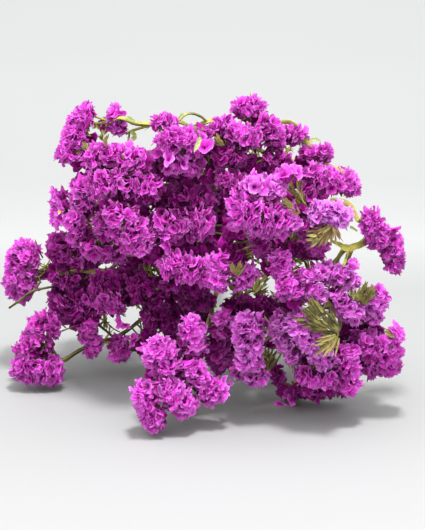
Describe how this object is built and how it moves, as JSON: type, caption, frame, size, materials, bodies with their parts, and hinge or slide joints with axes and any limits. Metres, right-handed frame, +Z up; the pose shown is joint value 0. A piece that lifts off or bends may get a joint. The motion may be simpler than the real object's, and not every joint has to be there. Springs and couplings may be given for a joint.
{
  "type": "dried statice bunch",
  "caption": "Tied bunch of dried statice lying down: branched, winged stems fan out into dense one-sided spikes of papery magenta and violet flowers.",
  "frame": {"origin": "on the surface that the bunch lies on, under the middle of its box", "axes": "+Z up, +X to the right as seen from the flowering end, +Y from the flower heads back towards the cut ends of the stems"},
  "size_m": [0.2796, 0.3839, 0.2095],
  "materials": {
    "petals": "dry, papery, matt, slightly translucent, with fine pleats; deeper magenta in the throats and paler at the rims",
    "stems": "rough, dry, olive green to brown, with thin papery wings",
    "twine": "twisted natural jute, hairy, matt"
  },
  "bodies": {
    "root": {"flower_head_01": "petals", "flower_head_02": "petals", "flower_head_03": "petals", "flower_head_04": "petals", "flower_head_05": "petals", "flower_head_06": "petals", "flower_head_07": "petals", "flower_head_08": "petals", "flower_head_09": "petals", "flower_head_10": "petals", "flower_head_11": "petals", "flower_head_12": "petals", "flower_head_13": "petals", "flower_head_14": "petals", "flower_head_15": "petals", "flower_head_16": "petals", "flower_head_17": "petals", "flower_head_18": "petals", "flower_head_19": "petals", "flower_head_20": "petals", "flower_head_21": "petals", "flower_head_22": "petals", "flower_head_23": "petals", "flower_head_24": "petals", "flower_head_25": "petals", "flower_head_26": "petals", "flower_head_27": "petals", "flower_head_28": "petals", "flower_head_29": "petals", "flower_head_30": "petals", "flower_head_31": "petals", "flower_head_32": "petals", "flower_head_33": "petals", "flower_head_34": "petals", "flower_head_35": "petals", "flower_head_36": "petals", "flower_head_37": "petals", "flower_head_38": "petals", "flower_head_39": "petals", "flower_head_40": "petals", "flower_head_41": "petals", "flower_head_42": "petals", "flower_head_43": "petals", "flower_head_44": "petals", "flower_head_45": "petals", "flower_head_46": "petals", "flower_head_47": "petals", "flower_head_48": "petals", "flower_head_49": "petals", "flower_head_50": "petals", "flower_head_51": "petals", "stem_1": "stems", "stem_2": "stems", "stem_3": "stems", "stem_4": "stems", "stem_5": "stems", "stem_6": "stems", "stem_7": "stems", "twine_tie": "twine"}
  },
  "joints": []
}
